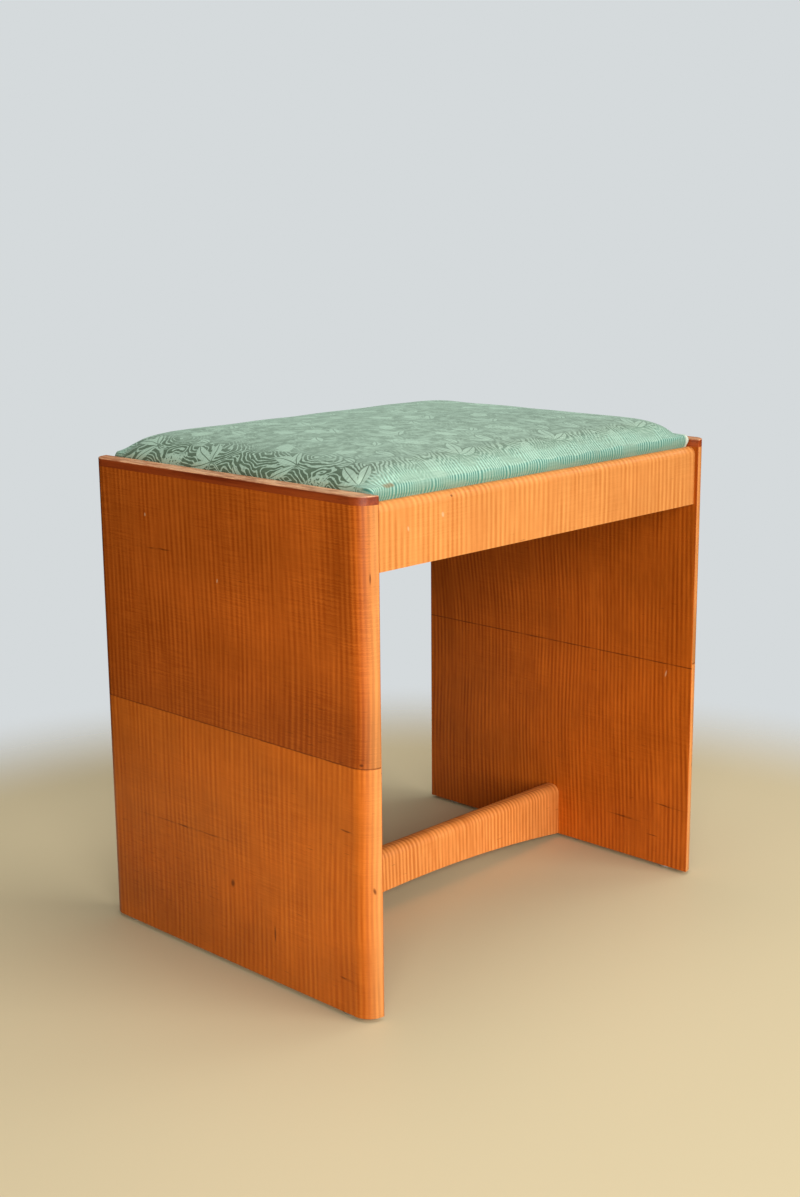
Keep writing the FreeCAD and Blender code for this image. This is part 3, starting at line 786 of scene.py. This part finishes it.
def damask_figure(g, u, v, y, z, ragged):
    """Thin lines in rings round eyes, with leaves and brushed patches over them: 1 where raised."""
    sway = g.centred(g.noise(g.combine(u, v, 1.0), 24.0, detail=1.5))
    swing = g.centred(g.noise(g.combine(u, v, 5.0), 24.0, detail=1.5))
    shiver = g.noise(g.combine(u, v, 9.0), 110.0, detail=1.0)
    nearest = rings(g, g.add(u, g.times(sway, 0.034)), g.add(v, g.times(swing, 0.034)))
    phase = g.add(g.times(nearest, 2 * math.pi / LINE_PITCH), g.times(shiver, 7.0))
    thick = g.noise(g.combine(u, v, 2.0), 160.0, detail=1.0)
    # thin light lines on the sides, thin dark ones on the front half of the top
    openness = g.times(g.between(y, *OPEN_Y), g.between(z, *OPEN_Z))
    low = g.add(g.between(thick, 0.3, 0.7, 0.70, 0.10), g.times(openness, -0.70))
    lines = g.between(g.math("SINE", phase), low, g.add(low, 0.35))
    # on the rubbed crown the lines run together into soft blotches
    blotch = g.between(g.noise(g.combine(u, v, 11.0), 95.0, detail=2.0), 0.38, 0.62, 0.0, 0.82)
    rubbed = g.between(z, *RUBBED_Z, 0.0, 0.70)
    lines = g.add(lines, g.times(rubbed, g.minus(blotch, lines)))
    leaf_u, leaf_v = g.add(u, g.times(swing, 0.010)), g.add(v, g.times(sway, 0.010))
    insides, cuts, halos = [], [], []
    for foot, leaves in SPRAYS:
        for shape in leaves:
            inside, rib, halo = leaf(g, leaf_u, leaf_v, foot, *shape)
            insides.append(inside)
            cuts.append(g.add(g.times(inside, g.minus(rib, 1.0)), 1.0))
            halos.append(halo)
    leaves, ribs, halos = g.fold("MAXIMUM", insides), g.fold("MINIMUM", cuts), g.fold("MAXIMUM", halos)
    brush = g.streaks(u, v, 90.0, 900.0, 3.0, detail=1.0)
    brushed = g.between(brush, 0.62, 0.72, 1.0, 0.35)
    speckles = g.between(g.cells(g.combine(u, v, 0.0), 430.0), 0.30, 0.42)
    patches = [g.times(patch(g, leaf_u, leaf_v, ragged, *place), speckles if speckled else brushed)
               for *place, speckled in PATCHES]
    figure = g.math("MAXIMUM", g.times(lines, 0.95), g.fold("MAXIMUM", patches))
    outlined = g.minus(1.0, g.times(halos, openness, 0.9))
    figure = g.times(figure, g.minus(1.0, leaves), outlined)
    return g.math("MAXIMUM", figure, g.times(leaves, ribs))


def drawn_threads(g, u, v):
    """Fine upright lines, and how strong they are from place to place."""
    wander = g.streaks(u, v, 45.0, 16.0, 6.0, detail=1.0)
    drawn = g.math("SINE", g.add(g.times(u, 2 * math.pi / DRAWN_PITCH), g.times(wander, 22.0)))
    fade = g.streaks(u, v, 28.0, 60.0, 8.0, detail=1.0)
    fade = g.between(fade, 0.38, 0.55, 0.15, 1.0)
    return g.add(0.5, g.times(drawn, fade, 0.5)), fade


def damask():
    """Two-tone damask: paler on the crown, partly rubbed and partly a painted reflection, and drawn into
    lines over the front and back rolls, with painted light and shade there.
    """
    g = Graph("cover_damask")
    u, v, _ = g.split(g.attribute("cloth"))
    x, y, z = g.split(g.place())
    ragged = g.streaks(u, v, 190.0, 90.0, 7.0, detail=2.0)
    figure = damask_figure(g, u, v, y, z, ragged)
    # the roll, and the upright wall under it; the line between them wanders
    reach_y = g.math("ABSOLUTE", y)
    roll = g.times(g.between(reach_y, *ROLL_Y), g.between(z, *ROLL_Z))
    wander = g.noise(g.combine(g.times(u, 34.0), 0.0, 12.0), detail=2.0)
    wall_edge = g.add(z, g.times(g.centred(wander), 0.008))
    wall = g.times(g.between(reach_y, *WALL_Y), g.between(wall_edge, *WALL_TOP, 1.0, 0.0))
    drawn, fade = drawn_threads(g, u, v)
    figure = g.mix(g.times(roll, 0.7), figure, g.times(drawn, 0.9))
    figure = g.mix(wall, figure, g.times(drawn, g.between(fade, 0.15, 1.0, 0.7, 0.5)))
    # threads: fine warp running front to back and weft running across
    warp = g.streaks(u, v, 2100.0, 60.0, 0.0, detail=1.0)
    weft = g.streaks(u, v, 60.0, 2100.0, 4.0, detail=1.0)
    slub = g.streaks(u, v, 22.0, 420.0, 9.0, detail=2.0)
    ground = g.shade(GROUND, g.between(warp, 0.3, 0.7, 0.80, 1.2))
    raised = g.shade(RAISED, g.between(weft, 0.3, 0.7, 0.86, 1.12))
    # the crown is paler and flatter than the sides: partly rubbed wear, partly a painted reflection of the
    # bright surroundings
    ground = g.mix(g.times(g.between(z, *CROWN_Z), 0.45), ground, CROWN_GROUND_WEAR_AND_REFLECTION)
    # painted highlight: the rolls' ground is painted paler, as the light falls on them
    ground = g.mix(g.times(roll, 0.75), ground, ROLL_GROUND_HIGHLIGHT)
    colour = g.shade(g.mix(figure, ground, raised), g.between(slub, 0.3, 0.7, 0.92, 1.08))
    # painted highlight on the rolls' drawn threads
    colour = g.mix(g.times(roll, g.between(drawn, 0.4, 1.0, 0.02, 0.72)), colour, ROLL_THREADS_HIGHLIGHT)
    # painted shade: the wall's streaks are painted dark, as the wall lies in shade
    colour = g.mix(g.times(wall, g.between(drawn, 0.1, 0.6, 0.95, 0.08)), colour, WALL_THREADS_SHADE)
    # painted light: the wall's foot is painted lighter; painted shade: the slope above the roll is painted a
    # little darker; towards the front right the cloth is a little darker too
    colour = g.shade(colour, g.between(g.add(z, g.times(wall, -0.1)), *WALL_FOOT_PAINTED_LIGHT, 1.35, 1.0))
    above = g.times(g.between(z, 0.4690, 0.4735), g.between(z, 0.4800, 0.4850, 1.0, 0.0),
                    g.between(x, 0.10, -0.05), g.between(y, -0.10, -0.14))
    colour = g.shade(colour, g.between(above, 0.0, 1.0, 1.0, 0.88))
    right = g.times(g.between(x, -0.07, 0.10), g.between(y, 0.03, -0.05))
    colour = g.shade(colour, g.between(right, 0.0, 1.0, 1.0, 0.87))
    for at, half, strength in STAINS:
        away = g.vector("SUBTRACT", g.place(), tuple(c * MM for c in at))
        reach = g.vector("LENGTH", g.vector("DIVIDE", away, tuple(c * MM for c in half)), output=1)
        spot = g.between(g.add(reach, g.times(ragged, 0.8)), 0.75, 1.35, 1.0, 0.0)
        colour = g.mix(g.times(spot, strength), colour, STAIN_COLOUR)
    # the selvedge is folded out at the front right corner
    fold = g.times(g.between(x, 0.2165, 0.2195), g.between(y, -0.163, -0.160, 1.0, 0.0))
    colour = g.mix(g.times(fold, g.between(ragged, 0.35, 0.6, 0.6, 0.95)), colour, SELVEDGE_COLOUR)
    roughness = g.between(figure, 0.0, 1.0, 0.52, 0.60, smooth=False)
    height = g.add(g.times(figure, 0.7), g.times(warp, 0.25), g.times(weft, 0.25), g.times(roll, drawn, 1.2))
    normal = g.bump(height, 0.00022, 0.55)
    return g.surface(colour, roughness, normal, Specular_IOR_Level=0.40, Sheen_Weight=0.30,
                     Sheen_Roughness=0.4, Sheen_Tint=(0.70, 1.0, 0.85))


# ---- webbing and hessian ----
STRAP_WIDTH = 0.050
LENGTHWISE_PITCH = 0.075
CROSSWISE_PITCH = 0.086
WEB_T = 0.0012
WEB_WAVE = 0.00062  # how far a strap rises and falls where it crosses another
HESSIAN_DIP = 0.0008  # how far the hessian sinks between the straps
HESSIAN_CORNER = 0.016  # cut off each of its corners


def jute(name, light, dark, threads):
    """Coarse plain weave. threads is how fast the weave turns, in radians a metre."""
    g = Graph(name)
    x, y, _ = g.split(g.place())
    over = g.math("SINE", g.times(x, threads))
    under = g.math("SINE", g.times(y, threads))
    weave = g.math("MULTIPLY", over, under)
    fuzz = g.noise(g.place(), 900.0, detail=3.0)
    share = g.add(g.times(weave, 0.32), g.times(fuzz, 0.7), 0.15)
    colour = g.mix(g.clamp(share), dark, light)
    cloud = g.noise(g.place(), 30.0, detail=2.0)
    colour = g.shade(colour, g.between(cloud, 0.3, 0.7, 0.88, 1.08))
    return g.surface(colour, 0.9, g.bump(g.add(weave, fuzz), 0.0005, 0.8), Specular_IOR_Level=0.2)


def strap(run, level, crossings, over_first, span, centre):
    """A strap that passes over and under the straps it crosses. run is 0 along X or 1 along Y."""
    steps = 160
    low, high = span
    vertices = []
    for i in range(steps + 1):
        t = low + (high - low) * i / steps
        lift = 0.0
        for k, c in enumerate(crossings):
            side = 1 if (k + over_first) % 2 == 0 else -1
            lift += side * WEB_WAVE * math.exp(-((t - c) / (STRAP_WIDTH * 0.62)) ** 4)
        for across, up in ((-0.5, 0), (0.5, 0), (0.5, 1), (-0.5, 1)):
            place = [0.0, 0.0, level + lift + WEB_T * (up - 0.5)]
            place[run] = t
            place[1 - run] = centre + STRAP_WIDTH * across
            vertices.append(tuple(place))
    faces = [(0, 1, 2, 3)]
    for i in range(steps):
        a, b = i * 4, i * 4 + 4
        for k in range(4):
            m = (k + 1) % 4
            faces.append((a + k, a + m, b + m, b + k))
    last = steps * 4
    faces.append((last + 3, last + 2, last + 1, last))
    return vertices, faces


def weave_webbing(material):
    """The seat's jute webbing, woven one over and one under."""
    low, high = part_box("webbing_lengthwise")
    cross_low, cross_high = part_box("webbing_crosswise")
    level = (min(low.z, cross_low.z) + max(high.z, cross_high.z)) / 2
    lengthwise = [LENGTHWISE_PITCH * k for k in (-1, 0, 1)]
    crosswise = [CROSSWISE_PITCH * k for k in (-1.5, -0.5, 0.5, 1.5)]
    for name, run, centres, crossings, span in (
            ("webbing_lengthwise", 0, lengthwise, crosswise, (low.x, high.x)),
            ("webbing_crosswise", 1, crosswise, lengthwise, (cross_low.y, cross_high.y))):
        vertices, faces = [], []
        for k, centre in enumerate(centres):
            part, sides = strap(run, level, crossings, k + run, span, centre)
            base = len(vertices)
            vertices.extend(part)
            faces.extend(tuple(i + base for i in face) for face in sides)
        obj = new_piece(f"{name}_woven", vertices, faces, material, "seat", smooth=False)
        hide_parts(name)


def lay_hessian(material):
    """Hessian tacked over the webbing: it dips a little between the straps."""
    low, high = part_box("seat_hessian")
    steps_x, steps_y = 56, 42
    vertices = []
    for level in (low.z, high.z):
        for j in range(steps_y + 1):
            y = low.y + (high.y - low.y) * j / steps_y
            # the corners are cut off, clear of the cover
            reach = high.x - max(0.0, HESSIAN_CORNER - (high.y - abs(y)))
            for i in range(steps_x + 1):
                x = reach * (2 * i / steps_x - 1)
                between = math.cos(2 * math.pi * x / CROSSWISE_PITCH)
                between *= 1 + math.cos(2 * math.pi * y / LENGTHWISE_PITCH)
                edge = min(high.x - abs(x), high.y - abs(y))
                dip = HESSIAN_DIP * 0.25 * (between - 2) * min(1.0, edge / 0.03)
                vertices.append((x, y, level + dip))
    row = steps_x + 1
    layer = row * (steps_y + 1)
    faces = []
    for j in range(steps_y):
        for i in range(steps_x):
            a = j * row + i
            faces.append((a, a + row, a + row + 1, a + 1))
            faces.append((layer + a, layer + a + 1, layer + a + row + 1, layer + a + row))
    rim = list(range(row))
    rim += [j * row + steps_x for j in range(1, steps_y + 1)]
    rim += [steps_y * row + i for i in range(steps_x - 1, -1, -1)]
    rim += [j * row for j in range(steps_y - 1, 0, -1)]
    for k, a in enumerate(rim):
        b = rim[(k + 1) % len(rim)]
        faces.append((a, b, layer + b, layer + a))
    obj = new_piece("seat_hessian_sheet", vertices, faces, material, "seat")
    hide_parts("seat_hessian")


# ---- stage, lights and camera ----
FLOOR_CENTRE = (-0.18, -0.17)
FLOOR_FADE = (0.70, 1.05)  # distances from it where the floor starts to fade and where it is gone
FLOOR_HALF = 1.4
FLOOR_COLOUR = (0.68, 0.575, 0.36)
BACKDROP = (0.665, 0.700, 0.715)
AMBIENT = (0.060, 0.061, 0.063)
LIGHTS = (  # name, place, aimed at, size, watts, colour
    ("window", (0.7, -2.8, 1.15), (0.0, 0.0, 0.25), (2.2, 1.8), 62.0, (1.0, 0.98, 0.95)),
    ("front_left_fill", (-1.9, -2.1, 0.9), (0.0, 0.0, 0.25), (1.8, 1.5), 68.0, (1.0, 0.98, 0.95)),
    ("overhead", (0.2, -0.2, 2.6), (0.0, 0.0, 0.4), (1.8, 1.8), 36.0, (1.0, 1.0, 1.0)),
    ("right_high", (1.9, -0.9, 1.7), (0.0, -0.1, 0.45), (0.9, 0.9), 6.0, (1.0, 1.0, 1.0)),
)


def stage_material():
    """Pale floor that fades into the plain background, so that no horizon shows."""
    g = Graph("floor_paint")
    x, y, _ = g.split(g.place())
    reach = g.vector("DISTANCE", g.combine(x, y, 0.0), (*FLOOR_CENTRE, 0.0), output=1)
    inputs = {"Base Color": FLOOR_COLOUR, "Roughness": 0.5, "Specular IOR Level": 0.25}
    shown = g.node("ShaderNodeBsdfPrincipled", inputs.items()).outputs[0]
    clear = g.node("ShaderNodeBsdfTransparent").outputs[0]
    blend = g.node("ShaderNodeMixShader", enumerate((g.between(reach, *FLOOR_FADE), shown, clear)))
    g.node("ShaderNodeOutputMaterial", (("Surface", blend.outputs[0]),))
    return g.material


def make_stage():
    corners = [(x * FLOOR_HALF, y * FLOOR_HALF, 0) for x, y in ((-1, -1), (1, -1), (1, 1), (-1, 1))]
    floor = new_piece("floor", corners, [(0, 1, 2, 3)], stage_material(), None, smooth=False)


def make_world():
    """A plain background; its light is soft fill that leaves no glare on the lacquer."""
    world = bpy.data.worlds.new("studio")
    world.use_nodes = True
    tree = world.node_tree
    fill = tree.nodes["Background"]
    fill.inputs["Color"].default_value = (*AMBIENT, 1.0)
    seen = tree.nodes.new("ShaderNodeBackground")
    seen.inputs["Color"].default_value = (*BACKDROP, 1.0)
    path = tree.nodes.new("ShaderNodeLightPath")
    blend = tree.nodes.new("ShaderNodeMixShader")
    tree.links.new(path.outputs["Is Camera Ray"], blend.inputs[0])
    tree.links.new(fill.outputs[0], blend.inputs[1])
    tree.links.new(seen.outputs[0], blend.inputs[2])
    tree.links.new(blend.outputs[0], tree.nodes["World Output"].inputs["Surface"])
    world.cycles_visibility.glossy = False
    bpy.context.scene.world = world


def make_lights():
    for name, at, target, size, power, colour in LIGHTS:
        data = bpy.data.lights.new(name, "AREA")
        data.shape = "RECTANGLE"
        data.size, data.size_y = size
        data.energy = power
        data.color = colour
        obj = bpy.data.objects.new(name, data)
        obj.location = at
        obj.rotation_euler = (Vector(target) - Vector(at)).to_track_quat("-Z", "Y").to_euler()
        obj.visible_camera = False
        bpy.context.scene.collection.objects.link(obj)


def make_camera():
    forward = Vector((math.sin(CAMERA_YAW) * math.cos(CAMERA_PITCH),
                      math.cos(CAMERA_YAW) * math.cos(CAMERA_PITCH), math.sin(CAMERA_PITCH)))
    level = forward.cross(Vector((0, 0, 1))).normalized()
    upright = level.cross(forward)
    right = math.cos(CAMERA_ROLL) * level + math.sin(CAMERA_ROLL) * upright
    up = -math.sin(CAMERA_ROLL) * level + math.cos(CAMERA_ROLL) * upright
    data = bpy.data.cameras.new("camera")
    data.lens = CAMERA_LENS
    data.sensor_width = 36.0
    data.clip_start = 0.05
    data.clip_end = 60.0
    obj = bpy.data.objects.new("camera", data)
    turn = Matrix((right, up, -forward)).transposed().to_4x4()
    obj.matrix_world = Matrix.Translation(CAMERA_AT) @ turn
    bpy.context.scene.collection.objects.link(obj)
    bpy.context.scene.camera = obj


bpy.context.scene.view_settings.view_transform = "Standard"
make_camera()
make_world()
make_lights()
make_stage()
paint_wood()
paint_metal()
make_cushion(damask())
weave_webbing(jute("webbing_jute", (0.50, 0.38, 0.22), (0.22, 0.15, 0.075), 2900.0))
lay_hessian(jute("hessian_weave", (0.56, 0.43, 0.26), (0.26, 0.18, 0.09), 3800.0))
